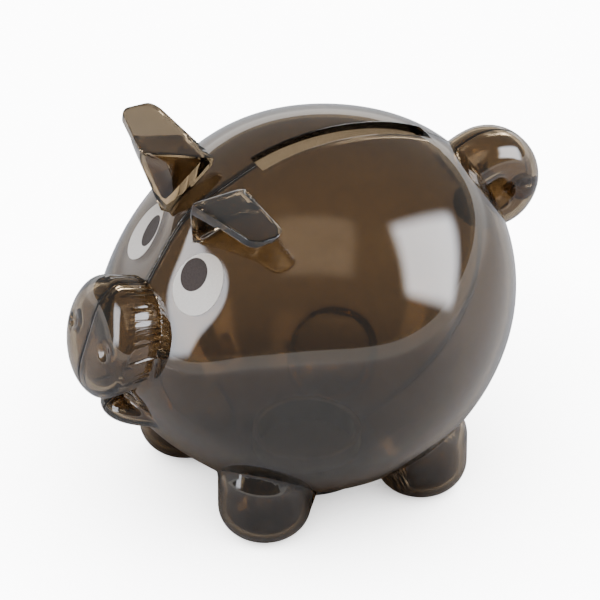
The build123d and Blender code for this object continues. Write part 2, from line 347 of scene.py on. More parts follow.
def make_piece(name: str, points: np.ndarray, faces: list, material: bpy.types.Material,
               body: str = MAIN_BODY, sharp: float = 0.7) -> bpy.types.Object:
    """Puts worked-out points and faces into a smooth-shaded object on a body of the frame.

    Args:
        name: Name of the piece.
        points: Vertex places.
        faces: Vertex indices of each face.
        material: Finish of the whole piece.
        body: Body of the frame that the piece moves with.
        sharp: Edges that turn by more than this angle, in radians, stay crisp.

    Returns:
        The new object.
    """
    mesh = bpy.data.meshes.new(name)
    mesh.from_pydata(points.reshape(-1, 3).tolist(), [], faces)
    mesh.validate()
    mesh.polygons.foreach_set("use_smooth", np.ones(len(mesh.polygons), dtype=bool))
    mesh.set_sharp_from_angle(angle=sharp)
    mesh.materials.append(material)
    piece = bpy.data.objects.new(name, mesh)
    bpy.context.scene.collection.objects.link(piece)
    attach(piece, body)
    LOG.info("%s: %d vertices, %d faces", name, len(mesh.vertices), len(mesh.polygons))
    return piece


@dataclass(frozen=True)
class SmokePlastic:
    """Clear, smoke-brown plastic: glass-like, tinting light a little at every face it crosses."""

    name: str = "smoke_plastic"
    tint: tuple = (0.34, 0.245, 0.140)
    thick_tint: tuple = (0.27, 0.190, 0.105)
    grazing_tint: tuple = (0.10, 0.074, 0.048)
    shadow: tuple = (0.50, 0.44, 0.36)
    ior: float = 1.50
    roughness: tuple = (0.012, 0.045)

    def material(self) -> bpy.types.Material:
        """Builds the finish: flow streaks, a deeper tint at a slant, faint haze and a soft ripple.

        Returns:
            The material, whose shadow rays pass a tinted transparent shader.
        """
        build = Nodes(self.name)
        place = build.add("ShaderNodeTexCoord").outputs["Object"]
        flow = build.noise(place, scale=26.0, detail=3.0, stretch=(1.0, 0.35, 1.0))
        haze = build.noise(place, scale=190.0, detail=5.0, stretch=(1.0, 1.0, 1.0))
        ripple = build.noise(place, scale=34.0, detail=1.0, stretch=(1.0, 0.6, 1.0))
        surface = build.principled(ior=self.ior, transmission=1.0)
        deepen = build.add("ShaderNodeMix")
        deepen.data_type = "RGBA"
        deepen.inputs["B"].default_value = (*self.grazing_tint, 1.0)
        slant = build.add("ShaderNodeLayerWeight")
        slant.inputs["Blend"].default_value = 0.30
        build.link(slant.outputs["Facing"], deepen.inputs["Factor"])
        build.link(build.blend(flow, self.tint, self.thick_tint), deepen.inputs["A"])
        build.link(deepen.outputs["Result"], surface.inputs["Base Color"])
        build.link(build.span(haze, *self.roughness), surface.inputs["Roughness"])
        build.link(build.bump(ripple, strength=0.05, distance=0.0004), surface.inputs["Normal"])
        clear = build.add("ShaderNodeBsdfTransparent")
        clear.inputs["Color"].default_value = (*self.shadow, 1.0)
        mixed = build.add("ShaderNodeMixShader")
        build.link(build.add("ShaderNodeLightPath").outputs["Is Shadow Ray"], mixed.inputs[0])
        build.link(surface.outputs[0], mixed.inputs[1])
        build.link(clear.outputs[0], mixed.inputs[2])
        return build.finish(mixed)


@dataclass(frozen=True)
class PrintedInk:
    """An opaque, slightly satin ink with fine screen-print grain."""

    name: str
    colour: tuple
    worn: tuple
    roughness: float = 0.55

    def material(self) -> bpy.types.Material:
        """Builds the ink: two close tones in fine grain, and a grainy bump."""
        build = Nodes(self.name)
        place = build.add("ShaderNodeTexCoord").outputs["Object"]
        grain = build.noise(place, scale=2600.0, detail=3.0, stretch=(1.0, 1.0, 1.0))
        surface = build.principled(ior=1.45, transmission=0.0)
        build.link(build.blend(grain, self.colour, self.worn), surface.inputs["Base Color"])
        build.link(build.span(grain, self.roughness - 0.08, self.roughness + 0.10),
                   surface.inputs["Roughness"])
        build.link(build.bump(grain, strength=0.15, distance=0.00005), surface.inputs["Normal"])
        surface.inputs["Specular IOR Level"].default_value = 0.25
        return build.finish(surface)


@dataclass(frozen=True)
class StopperPlastic:
    """Black satin plastic with a fine moulded grain and turned rings."""

    name: str = "stopper_plastic"

    def material(self) -> bpy.types.Material:
        """Builds the satin black: grain in the roughness, and rings round the Z axis in the bump."""
        build = Nodes(self.name)
        place = build.add("ShaderNodeTexCoord").outputs["Object"]
        grain = build.noise(place, scale=700.0, detail=4.0, stretch=(1.0, 1.0, 1.0))
        rings = build.add("ShaderNodeTexWave")
        rings.wave_type = "RINGS"
        rings.rings_direction = "Z"
        rings.inputs["Scale"].default_value = 260.0
        rings.inputs["Distortion"].default_value = 0.4
        build.link(place, rings.inputs["Vector"])
        surface = build.principled(ior=1.50, transmission=0.0)
        build.link(build.blend(grain, (0.018, 0.018, 0.019), (0.035, 0.034, 0.033)),
                   surface.inputs["Base Color"])
        build.link(build.span(grain, 0.34, 0.52), surface.inputs["Roughness"])
        build.link(build.bump(rings.outputs["Fac"], strength=0.2, distance=0.00006),
                   surface.inputs["Normal"])
        return build.finish(surface)


def cloud_group() -> bpy.types.ShaderNodeTree:
    """The cloudy grain that all the finishes share, as one node group that is built only once.

    Returns:
        The group: it takes coordinates, a stretch, a scale and octaves, and puts out a mask.
    """
    name = "cloudy_grain"
    made = bpy.data.node_groups.get(name)
    if made is not None:
        return made
    made = bpy.data.node_groups.new(name, "ShaderNodeTree")
    for socket, kind in (("Place", "NodeSocketVector"), ("Stretch", "NodeSocketVector"),
                         ("Scale", "NodeSocketFloat"), ("Detail", "NodeSocketFloat")):
        made.interface.new_socket(name=socket, in_out="INPUT", socket_type=kind)
    made.interface.new_socket(name="Mask", in_out="OUTPUT", socket_type="NodeSocketFloat")
    given = made.nodes.new("NodeGroupInput")
    turn = made.nodes.new("ShaderNodeMapping")
    cloud = made.nodes.new("ShaderNodeTexNoise")
    result = made.nodes.new("NodeGroupOutput")
    made.links.new(given.outputs["Place"], turn.inputs["Vector"])
    made.links.new(given.outputs["Stretch"], turn.inputs["Scale"])
    made.links.new(turn.outputs["Vector"], cloud.inputs["Vector"])
    made.links.new(given.outputs["Scale"], cloud.inputs["Scale"])
    made.links.new(given.outputs["Detail"], cloud.inputs["Detail"])
    made.links.new(cloud.outputs["Fac"], result.inputs["Mask"])
    return made


class Nodes:
    """A short way to write one material's nodes."""

    def __init__(self, name: str) -> None:
        """Starts an empty material."""
        self.made = bpy.data.materials.new(name)
        self.made.use_nodes = True
        self.tree = self.made.node_tree
        self.tree.nodes.clear()

    def add(self, kind: str) -> bpy.types.Node:
        """Adds a node of the given kind."""
        return self.tree.nodes.new(kind)

    def link(self, source: bpy.types.NodeSocket, target: bpy.types.NodeSocket) -> None:
        """Joins an output to an input."""
        self.tree.links.new(source, target)

    def noise(self, place: bpy.types.NodeSocket, scale: float, detail: float,
              stretch: tuple) -> bpy.types.NodeSocket:
        """Cloudy noise over the given coordinates, from the group that every finish shares.

        Args:
            place: Coordinates to read.
            scale: Noise cells for each metre.
            detail: Octaves.
            stretch: Multiplies the coordinates on each axis first.

        Returns:
            A value from 0 to 1.
        """
        cloud = self.add("ShaderNodeGroup")
        cloud.node_tree = cloud_group()
        cloud.inputs["Stretch"].default_value = stretch
        cloud.inputs["Scale"].default_value = scale
        cloud.inputs["Detail"].default_value = detail
        self.link(place, cloud.inputs["Place"])
        return cloud.outputs["Mask"]

    def blend(self, mask: bpy.types.NodeSocket, low: tuple, high: tuple) -> bpy.types.NodeSocket:
        """A colour that runs from low to high as the mask climbs through its middle range."""
        ramp = self.add("ShaderNodeValToRGB")
        ramp.color_ramp.elements[0].position = 0.35
        ramp.color_ramp.elements[0].color = (*low, 1.0)
        ramp.color_ramp.elements[1].position = 0.65
        ramp.color_ramp.elements[1].color = (*high, 1.0)
        self.link(mask, ramp.inputs["Fac"])
        return ramp.outputs["Color"]

    def span(self, mask: bpy.types.NodeSocket, low: float, high: float) -> bpy.types.NodeSocket:
        """A value that runs from low to high as the mask climbs through its middle range."""
        limits = self.add("ShaderNodeMapRange")
        for socket, value in (("From Min", 0.3), ("From Max", 0.7), ("To Min", low), ("To Max", high)):
            limits.inputs[socket].default_value = value
        self.link(mask, limits.inputs["Value"])
        return limits.outputs["Result"]

    def maths(self, operation: str, first: bpy.types.NodeSocket,
              second: "bpy.types.NodeSocket | float") -> bpy.types.NodeSocket:
        """One sum or product of a value and another value or a plain number."""
        step = self.add("ShaderNodeMath")
        step.operation = operation
        self.link(first, step.inputs[0])
        if isinstance(second, float):
            step.inputs[1].default_value = second
        else:
            self.link(second, step.inputs[1])
        return step.outputs[0]

    def bump(self, height: bpy.types.NodeSocket, strength: float, distance: float) -> bpy.types.NodeSocket:
        """A normal tilted by a height over the surface; distance is in metres."""
        tilt = self.add("ShaderNodeBump")
        tilt.inputs["Strength"].default_value = strength
        tilt.inputs["Distance"].default_value = distance
        self.link(height, tilt.inputs["Height"])
        return tilt.outputs["Normal"]

    def principled(self, ior: float, transmission: float) -> bpy.types.Node:
        """The surface shader with its plain sockets set."""
        surface = self.add("ShaderNodeBsdfPrincipled")
        surface.inputs["IOR"].default_value = ior
        surface.inputs["Transmission Weight"].default_value = transmission
        surface.inputs["Metallic"].default_value = 0.0
        return surface

    def finish(self, surface: bpy.types.Node) -> bpy.types.Material:
        """Sends the surface to the output and hands the material back."""
        self.link(surface.outputs[0], self.add("ShaderNodeOutputMaterial").inputs["Surface"])
        return self.made


@dataclass
class HalfShell:
    """One half of the hollow body: an outer skin, an inner skin and the parting edge between them."""

    side: Side
    material: bpy.types.Material
    wall: float = 0.0018
    gap: float = 0.00024
    edge_round: float = 0.00010
    slot_half_width: float = 0.0029
    tongue_reach: float = 0.0010
    tongue_depths: tuple = (0.0005, 0.0012)
    tongue_play: float = 0.00006
    rim_depths: tuple = (0.00012, 0.0017)
    columns: int = 430
    outer_rows: int = 112
    inner_rows: int = 84
    crowding: tuple = ((174.0, 0.45, 1.5), (238.0, 0.30, 0.7), (302.0, 0.30, 0.7))
    pair_half_gap: float = 0.0005
    pair_clearance: float = 0.0040

    def column_angles(self) -> np.ndarray:
        """Angles of the columns round the X axis, from +Y towards +Z.

        Formula: the running total of a density, which is one plus bell curves over the snout and the
        feet (each crowding is an angle in degrees, a spread and a height), is cut into equal shares.
        A pair of close columns then brackets each end of the slot.
        """
        sweep = np.linspace(0, 2 * math.pi, 4001)
        density = 1 + sum(height * bump(sweep - math.radians(degrees), spread)
                          for degrees, spread, height in self.crowding)
        total = np.concatenate([[0.0], np.cumsum((density[1:] + density[:-1]) / 2)])
        even = np.arange(self.columns) / self.columns * total[-1]
        angles = np.interp(even, total, sweep)
        ends = [FORM.middle_angle(y, above=True) for y in FORM.slot_ends]
        pairs = np.array([end + side * self.pair_half_gap for end in ends for side in (-1, 1)])
        keep = np.min(np.abs(angles[:, None] - pairs), axis=1) > self.pair_clearance
        return np.sort(np.concatenate([angles[keep], pairs]))

    def direction(self, round_x: np.ndarray, lift: np.ndarray) -> np.ndarray:
        """Unit vectors: round_x turns in the centre plane, lift rises from it towards the flank."""
        flat = np.cos(lift)
        return np.stack([np.sin(lift), flat * np.cos(round_x), flat * np.sin(round_x)], axis=-1)

    def edge_offset(self, angles: np.ndarray) -> np.ndarray:
        """How far each column's edge is from the centre plane: a gap, half the slot, or the hole."""
        skin = FORM.middle_line(angles)
        y, above = skin[:, 1], skin[:, 2] > FORM.centre[2]
        in_slot = (y > FORM.slot_ends[0]) & (y < FORM.slot_ends[1])
        slot = np.where(in_slot, self.slot_half_width, self.gap)
        hole = np.sqrt(np.maximum(FORM.hole_radius**2 - y**2, 0.0))
        return np.where(above, slot, np.maximum(hole, self.gap))

    def edge_lift(self, angles: np.ndarray, offset: np.ndarray) -> np.ndarray:
        """The lift at which each column's skin is offset from the centre plane."""
        lift = np.zeros_like(angles)
        for _ in range(5):
            lift = np.arcsin(np.clip(offset / FORM.reach(self.direction(angles, lift)), 0, 1))
        return lift

    def skin(self, angles: np.ndarray, lift: np.ndarray, rows: int, depth: float) -> np.ndarray:
        """Rows of points from the edge to the last row before the flank's pole.

        Formula: the lift runs from the edge to a right angle as 0.45 u plus 0.55 u squared, and each
        point lies where its direction meets the skin at the given depth.
        """
        u = np.arange(rows) / rows
        share = (0.45 * u + 0.55 * u * u)[:, None]
        tilt = lift[None, :] * (1 - share) + share * math.pi / 2
        ray = self.direction(np.broadcast_to(angles, tilt.shape), tilt)
        return FORM.centre + FORM.reach(ray, depth)[..., None] * ray

    def edge_rows(self, angles: np.ndarray, lift: np.ndarray, offset: np.ndarray) -> np.ndarray:
        """Rows across the thickness of the parting edge, with the tongue or its groove.

        Formula: each row follows the edge at its own depth under the skin, and where the halves meet
        it steps across the joint by the tongue's reach, out on the left half and in on the right.
        """
        seam = (offset < 2 * self.gap).astype(float)
        play, turn = (0.0, -1.0) if self.side is Side.LEFT else (self.tongue_play, 1.0)
        near, far = self.tongue_depths[0] - play, self.tongue_depths[1] + play
        across = turn * (self.tongue_reach + play)
        profile = ((0.0, self.rim_depths[0]), (0.0, near), (across, near), (across, far), (0.0, far),
                   (0.0, self.rim_depths[1]))
        ray = self.direction(angles, lift)
        rows = []
        for step, depth in profile:
            row = FORM.centre + FORM.reach(ray, depth)[:, None] * ray
            row[:, 0] = offset + step * seam
            rows.append(row)
        return np.stack(rows)

    def build(self) -> bpy.types.Object:
        """Builds the half: outer rows from the flank to the edge, the edge, and inner rows back."""
        angles = self.column_angles()
        offset = self.edge_offset(angles)
        lift = self.edge_lift(angles, offset)
        near_edge = self.edge_lift(angles, offset + self.edge_round)
        outer = self.skin(angles, near_edge, self.outer_rows, 0.0)[::-1]
        edge = self.edge_rows(angles, lift, offset)
        inner = self.skin(angles, near_edge, self.inner_rows, self.wall)
        rings = np.concatenate([outer, edge, inner])
        flank = np.array([[1.0, 0.0, 0.0]])
        poles = np.stack([FORM.centre + FORM.reach(flank, d)[0] * flank[0] for d in (0.0, self.wall)])
        points = np.concatenate([rings.reshape(-1, 3), poles])
        points, faces = on_side(self.side, points, closed_faces(*rings.shape[:2]))
        name = f"half_shell_{self.side.label}"
        piece = make_piece(name, points, faces, self.material, sharp=0.9)
        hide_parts(f"shell_{self.side.label}")
        return piece


@dataclass
class SeamShadeStrip:
    """A near-black strip sunk in the gap between the halves, on the body and on the tail: painted shade
    for the dark parting line.
    """

    material: bpy.types.Material
    half_width: float = 0.00023
    tail_half_width: float = 0.00033
    depths: tuple = (0.00002, 0.00060)
    samples: int = 420

    def run(self, name: str, half_width: float, outer: np.ndarray, inner: np.ndarray) -> bpy.types.Object:
        """A thin closed strip between two lines in the centre plane.

        Formula: each line is moved half the strip's width to both sides, which gives four points at
        every place along it, and the first and last four are closed by a quad.
        """
        aside = np.array([half_width, 0.0, 0.0])
        rings = np.stack([outer + aside, outer - aside, inner - aside, inner + aside], axis=1)
        last = 4 * (len(rings) - 1)
        faces = [tuple(f) for f in grid_faces(len(rings), 4, 0, wrap=True).tolist()]
        faces += [(3, 2, 1, 0), (last, last + 1, last + 2, last + 3)]
        volume = np.cross(outer[1] - outer[0], inner[0] - outer[0])[0]
        if volume < 0:
            faces = [f[::-1] for f in faces]
        piece = make_piece(name, rings, faces, self.material, sharp=0.5)
        return piece

    def build(self, tail: "CurledTail") -> None:
        """Builds the run over the rump, the run over the face, and the tail's."""
        hole_ends = (FORM.hole_radius, -FORM.hole_radius)
        hole_rear, hole_face = (FORM.middle_angle(y, above=False) for y in hole_ends)
        slot_face, slot_rear = (FORM.middle_angle(y, above=True) for y in FORM.slot_ends)
        rear, face = (hole_rear, slot_rear), (slot_face, 2 * math.pi + hole_face)
        for name, (first, last) in (("seam_shade_rump", rear), ("seam_shade_face", face)):
            angles = np.linspace(first, last, self.samples)
            self.run(name, self.half_width, *(FORM.middle_line(angles, depth) for depth in self.depths))
        for name, turn in (("seam_shade_tail_outside", 1.0), ("seam_shade_tail_inside", -1.0)):
            self.run(name, self.tail_half_width, *(tail.edge_line(turn, depth) for depth in self.depths))


def soft_polygon(middle: np.ndarray, normals: np.ndarray, reach: np.ndarray, spread: np.ndarray,
                 points: int, power: float = 16.0) -> np.ndarray:
    """Convex outlines with soft corners, one for each row.

    Formula: along a direction u the outline is at the distance whose inverse is the p-norm, over all
    edges, of the positive part of u dot the edge's normal over the edge's distance from the middle.

    Args:
        middle: A point inside each outline, two coordinates.
        normals: Outward normals of the edges, shared by all rows.
        reach: Distance of each edge from the middle, by row and edge.
        spread: Half width and half height that spread the directions, by row.
        points: Points on each outline.
        power: Sharpness of the corners.

    Returns:
        Rows of points.
    """
    phi = np.linspace(0, 2 * math.pi, points, endpoint=False)
    ray = np.stack([np.cos(phi) * spread[:, :1], np.sin(phi) * spread[:, 1:]], axis=-1)
    ray = ray / np.linalg.norm(ray, axis=-1, keepdims=True)
    share = np.maximum(ray @ normals.T, 0.0) / reach[:, None, :]
    level = (share**power).sum(-1) ** (1 / power)
    return middle[:, None] + ray / level[..., None]


@dataclass
class Ear:
    """A leaf with a round rim and tip, on a hollow wedge that stands on the forehead.

    The wedge is the hull of the leaf's root and the foot: its inner wall faces the centre plane, one
    gusset faces forwards, one backwards, and the outer face slants up to the leaf's underside.
    """

    side: Side
    material: bpy.types.Material
    front: tuple = (12.6, -35.3, 88.2)
    back: tuple = (7.4, -19.3, 84.6)
    foot: tuple = (6.9, -32.4, 72.6)
    tip_front: tuple = (32.2, -30.2, 87.3)
    tip_back: tuple = (31.8, -22.2, 87.3)
    wedge_share: float = 0.46
    leaf: float = 0.0021
    wall: float = 0.0015
    tip_round: float = 0.0034
    hollow_span: tuple = (0.075, 0.34)
    root_draw: float = 0.95
    root_reach: float = 0.0005
    rows: int = 84
    hollow_rows: int = 30
    points: int = 72

    def outline(self, share: np.ndarray, inset: float) -> np.ndarray:
        """Cross-sections at each share of the way from the inner wall to the tip.

        Formula: both rims are straight lines to the tip, where they draw in by a quarter circle.  The
        section is bounded by the leaf's top, the two rims, a gusset plane under each rim, and a floor
        that climbs evenly from the foot to the leaf's underside.

        Args:
            share: 0 at the inner wall, 1 at the tip.
            inset: How far every bounding plane is moved inwards.

        Returns:
            Rows of points.
        """
        s = share[:, None]
        front_root, back_root = mm(*self.front), mm(*self.back)
        front = front_root + s * (mm(*self.tip_front) - front_root)
        back = back_root + s * (mm(*self.tip_back) - back_root)
        across = (back - front) / np.linalg.norm(back - front, axis=-1, keepdims=True)
        root = (back_root - front_root) / np.linalg.norm(back_root - front_root)
        fall = mm(*self.foot) - front_root
        depth = np.linalg.norm(fall - (fall @ root) * root)
        down = (fall - (fall @ root) * root) / depth
        length = np.linalg.norm(mm(*self.tip_front) - front_root)
        width = np.linalg.norm(back - front, axis=-1)
        near_tip = np.clip((share - 1) * length / self.tip_round + 1, 0.0, 1.0)
        draw = self.tip_round * (1 - np.sqrt(1 - near_tip**2))
        near_end = np.clip((share - 1) * length / (self.leaf / 2) + 1, 0.0, 1.0)
        half_leaf = self.leaf / 2 * np.sqrt(np.maximum(1 - near_end**2, 0.003))
        floor = self.leaf + (depth - self.leaf) * np.clip(1 - share / self.wedge_share, 0.0, 1.0)
        foot_across = fall @ root
        root_width = np.linalg.norm(back_root - front_root)
        rise, front_run, back_run = depth - self.leaf, foot_across, root_width - foot_across
        front_gusset = np.array([-rise, front_run]) / math.hypot(rise, front_run)
        back_gusset = np.array([rise, back_run]) / math.hypot(rise, back_run)
        normals = np.array([[0.0, -1.0], [-1.0, 0.0], [1.0, 0.0], front_gusset, back_gusset, [0.0, 1.0]])
        if inset > 0:
            y = inset + 0.35 * (floor - 2 * inset)
            x = width * foot_across / root_width + 0.2 * (floor - y)
        else:
            x, y = width / 2, np.full_like(width, self.leaf / 2)
        middle = np.stack([x, y], axis=-1)
        under = np.stack([x, y - self.leaf], axis=-1)
        under_back = np.stack([x - width, y - self.leaf], axis=-1)
        thinned = self.leaf / 2 - half_leaf
        beyond_wedge = floor < 1.001 * self.leaf
        reach = np.stack([y - thinned, x - draw, width - draw - x, -(under @ front_gusset),
                          -(under_back @ back_gusset), floor - thinned * beyond_wedge - y], axis=-1)
        reach = np.maximum(reach - inset, 0.00004)
        height = np.maximum(half_leaf, 0.35 * (floor - self.leaf / 2))
        spread = np.stack([width / 2 - draw, height], axis=-1)
        flat = soft_polygon(middle, normals, reach, spread, self.points)
        return front[:, None] + flat[..., :1] * across[:, None] + flat[..., 1:] * down

    def layer(self, inset: float, span: tuple, rows: int, start: int) -> tuple:
        """One closed skin of the ear, whose first ring is drawn in to round the edge.

        Args:
            inset: How far under the outer skin it lies.
            span: The first and last share of the way to the tip.
            rows: Number of cross-sections, which crowd together towards the tip.
            start: Index of its first vertex.

        Returns:
            The points and the faces, which look outwards.
        """
        share = span[0] + (span[1] - span[0]) * np.sin(np.linspace(0, math.pi / 2, rows))
        rings = self.outline(share, inset)
        lead = rings[0].mean(axis=0)
        proud = np.array([self.root_reach if inset == 0 else 0.0, 0.0, 0.0])
        rings = np.concatenate([(lead + (rings[0] - lead) * self.root_draw - proud)[None], rings])
        poles = np.stack([rings[0].mean(axis=0), rings[-1].mean(axis=0)])
        return np.concatenate([rings.reshape(-1, 3), poles]), closed_faces(*rings.shape[:2], start)

    def build(self) -> bpy.types.Object:
        """Builds the outer skin and, turned inside out, the hollow in the wedge."""
        skin, skin_faces = self.layer(0.0, (0.0, 1.0), self.rows, 0)
        hollow, hollow_faces = self.layer(self.wall, self.hollow_span, self.hollow_rows, len(skin))
        points = np.concatenate([skin, hollow])
        points, faces = on_side(self.side, points, skin_faces + [face[::-1] for face in hollow_faces])
        piece = make_piece(f"ear_{self.side.label}", points, faces, self.material, sharp=0.9)
        return piece


@dataclass
class CurledTail:
    """A thick hollow bar in two halves that rises out of the rump and curls down and in."""

    material: bpy.types.Material
    radius: float = 0.0060
    half_breadth: float = 0.0074
    wall: float = 0.0015
    gap: float = 0.00034
    curl_centre: tuple = (46.3, 62.6)
    curl_radius: float = 0.0068
    turn: float = math.radians(236.0)
    run_share: float = 0.16
    run_back: float = 0.0075
    run_drop: float = 0.0030
    round_share: float = 0.86
    tip_place: tuple = (4.7, 52.9, 61.6)
    tip_radii: tuple = (2.9, 3.6, 3.0)
    tip_pull: float = 0.18
    tip_rings: int = 38
    tip_points: int = 64
    rows: int = 130
    arc: int = 30

    def path(self, share: np.ndarray) -> np.ndarray:
        """The bar's middle line in the centre plane.

        Formula: a run climbs out of the rump to the top of the curl, and then an arc turns about the
        curl's centre while its radius shrinks towards the end.
        """
        centre = mm(0.0, *self.curl_centre)
        run = np.clip(share / self.run_share, 0.0, 1.0)
        sweep = np.clip((share - self.run_share) / (1 - self.run_share), 0.0, 1.0)
        angle = math.pi / 2 - self.turn * sweep
        radius = self.curl_radius * (1 - 0.30 * np.clip((sweep - 0.55) / 0.45, 0.0, 1.0) ** 1.5)
        y = radius * np.cos(angle) - self.run_back * (1 - run)
        z = radius * np.sin(angle) - self.run_drop * (1 - run) ** 1.6
        return centre + np.stack([0 * y, y, z], axis=-1)

    def frame_along(self, share: np.ndarray) -> tuple:
        """The middle line, its upward normal in the centre plane, and how far the bar has thinned."""
        line = self.path(share)
        ahead = np.gradient(line, axis=0)
        ahead = ahead / np.linalg.norm(ahead, axis=-1, keepdims=True)
        up = np.cross(ahead, np.array([1.0, 0.0, 0.0]))
        thin = 1 - 0.20 * np.clip((share - 0.5) / 0.5, 0.0, 1.0)
        return line, up, thin

    def edge_line(self, turn: float, depth: float) -> np.ndarray:
        """The bar's outside (turn 1) or inside (turn -1) edge in the centre plane, under its skin."""
        share = np.linspace(0.0, self.round_share, self.rows)
        line, up, thin = self.frame_along(share)
        return line + turn * up * (self.radius * thin - depth)[:, None]

    def half(self, side: Side) -> bpy.types.Object:
        """One half of the bar: a C-shaped section carried along the middle line.

        Formula: the section is half an ellipse from the parting gap round the flank and back to the
        gap, and the same half ellipse one wall further in, run the other way.
        """
        share = np.linspace(0.0, 1.0, self.rows)
        line, up, thin = self.frame_along(share)
        end = np.clip((share - self.round_share) / (1 - self.round_share), 0.0, 1.0)
        ball = np.sqrt(np.maximum(1 - end**2, 0.0001))
        angle = np.linspace(-math.pi / 2, math.pi / 2, self.arc)
        rings = []
        for depth, turn in ((0.0, angle), (self.wall, angle[::-1])):
            tall = np.maximum((self.radius * thin - depth) * ball, 0.00002)
            broad = np.maximum((self.half_breadth * thin - depth) * ball, 0.00001)
            x = self.gap + broad[:, None] * np.cos(turn)
            rise = tall[:, None] * np.sin(turn)
            rings.append(line[:, None] + rise[..., None] * up[:, None]
                         + x[..., None] * np.array([1.0, 0.0, 0.0]))
        points = np.concatenate(rings, axis=1)
        count = 2 * self.arc
        quads = grid_faces(self.rows, count, 0, wrap=True)
        j = np.arange(self.arc - 1)
        ends = np.stack([count - 1 - j, count - 2 - j, j + 1, j], axis=-1)
        faces = np.concatenate([quads, ends, ends + (self.rows - 1) * count])
        points, faces = on_side(side, points.reshape(-1, 3), [tuple(face) for face in faces.tolist()])
        piece = make_piece(f"tail_{side.label}", points, faces, self.material, sharp=1.0)
        return piece

    def tip(self) -> bpy.types.Object:
        """The round end of the curl, showing on the left flank: an egg with soft poles."""
        lift = np.linspace(-math.pi / 2, math.pi / 2, self.tip_rings + 2)[1:-1, None]
        turn = np.linspace(0, 2 * math.pi, self.tip_points, endpoint=False)[None, :]
        pull = 1 + self.tip_pull * np.sin(turn) * np.cos(lift)
        unit = np.stack([np.sin(lift) + 0 * turn, np.cos(lift) * np.cos(turn) * pull,
                         np.cos(lift) * np.sin(turn)], axis=-1)
        rings = mm(*self.tip_place) + unit * mm(*self.tip_radii)
        poles = mm(*self.tip_place) + np.array([[-1.0, 0, 0], [1.0, 0, 0]]) * mm(*self.tip_radii)
        points = np.concatenate([rings.reshape(-1, 3), poles])
        faces = [face[::-1] for face in closed_faces(*rings.shape[:2])]
        piece = make_piece("tail_tip", points, faces, self.material, sharp=1.2)
        return piece

    def build(self) -> None:
        """Builds both halves and the round end."""
        for side in Side:
            self.half(side)
        self.tip()


@dataclass
class PrintedEye:
    """The white and the pupil of one eye, printed on the forehead's skin."""

    side: Side
    white: bpy.types.Material
    dark: bpy.types.Material
    place: tuple = (12.4, -34.0, 66.6)
    facing: tuple = (0.30, -0.73, 0.61)
    lean: float = math.radians(-14.0)
    half_size: tuple = (6.2, 7.3)
    narrowing: float = 0.10
    pupil_half_size: tuple = (3.3, 3.9)
    pupil_shift: tuple = (-2.0, 1.5)
    sunk: float = 0.00006
    white_lift: float = 0.00008
    pupil_lift: float = 0.00013

    def patch(self, half_size: tuple, shift: tuple, narrowing: float, lift: float) -> tuple:
        """A thin closed lens of ink that hugs the skin.

        Formula: on a disc of radius rho and angle phi, across is the half width times rho cos phi
        less a narrowing that grows with height, and up is the half height times rho sin phi.  The
        disc is laid on the skin; the outer face is lifted and the inner face sunk.

        Args:
            half_size: Half width and half height in millimetres.
            shift: Place of its middle on the eye's plane, in millimetres.
            narrowing: How much narrower the top is than the bottom.
            lift: Height of the outer face over the skin in metres.

        Returns:
            The points and the faces.
        """
        rho = np.linspace(0.04, 1.0, 24)[:, None]
        phi = np.linspace(0, 2 * math.pi, 96, endpoint=False)[None, :]
        up = rho * np.sin(phi)
        across = rho * np.cos(phi) * (1 - narrowing * up)
        a = half_size[0] * across
        b = half_size[1] * up
        aside = a * math.cos(self.lean) - b * math.sin(self.lean) + shift[0]
        height = a * math.sin(self.lean) + b * math.cos(self.lean) + shift[1]
        facing = np.array(self.facing) / np.linalg.norm(self.facing)
        level = np.cross([0.0, 0.0, 1.0], facing)
        level = level / np.linalg.norm(level)
        upright = np.cross(facing, level)
        flat = mm(*self.place) + (aside[..., None] * level + height[..., None] * upright) * MILLIMETRE
        middle = flat[:1].mean(axis=1)
        rings = np.concatenate([FORM.onto_skin(flat, lift), FORM.onto_skin(flat, -self.sunk)[::-1]])
        poles = FORM.onto_skin(middle, lift), FORM.onto_skin(middle, -self.sunk)
        return np.concatenate([rings.reshape(-1, 3), *poles]), closed_faces(*rings.shape[:2])

    def build(self) -> None:
        """Builds the white and the pupil."""
        white = self.patch(self.half_size, (0.0, 0.0), self.narrowing, self.white_lift)
        pupil = self.patch(self.pupil_half_size, self.pupil_shift, 0.0, self.pupil_lift)
        layers = (("white", "white_ink", self.white, white), ("pupil", "dark_ink", self.dark, pupil))
        for kind, slot, material, patch in layers:
            points, faces = on_side(self.side, *patch)
            piece = make_piece(f"printed_{kind}_{self.side.label}", points, faces, material, sharp=1.2)
            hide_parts(f"eye_{kind}_{self.side.label}")


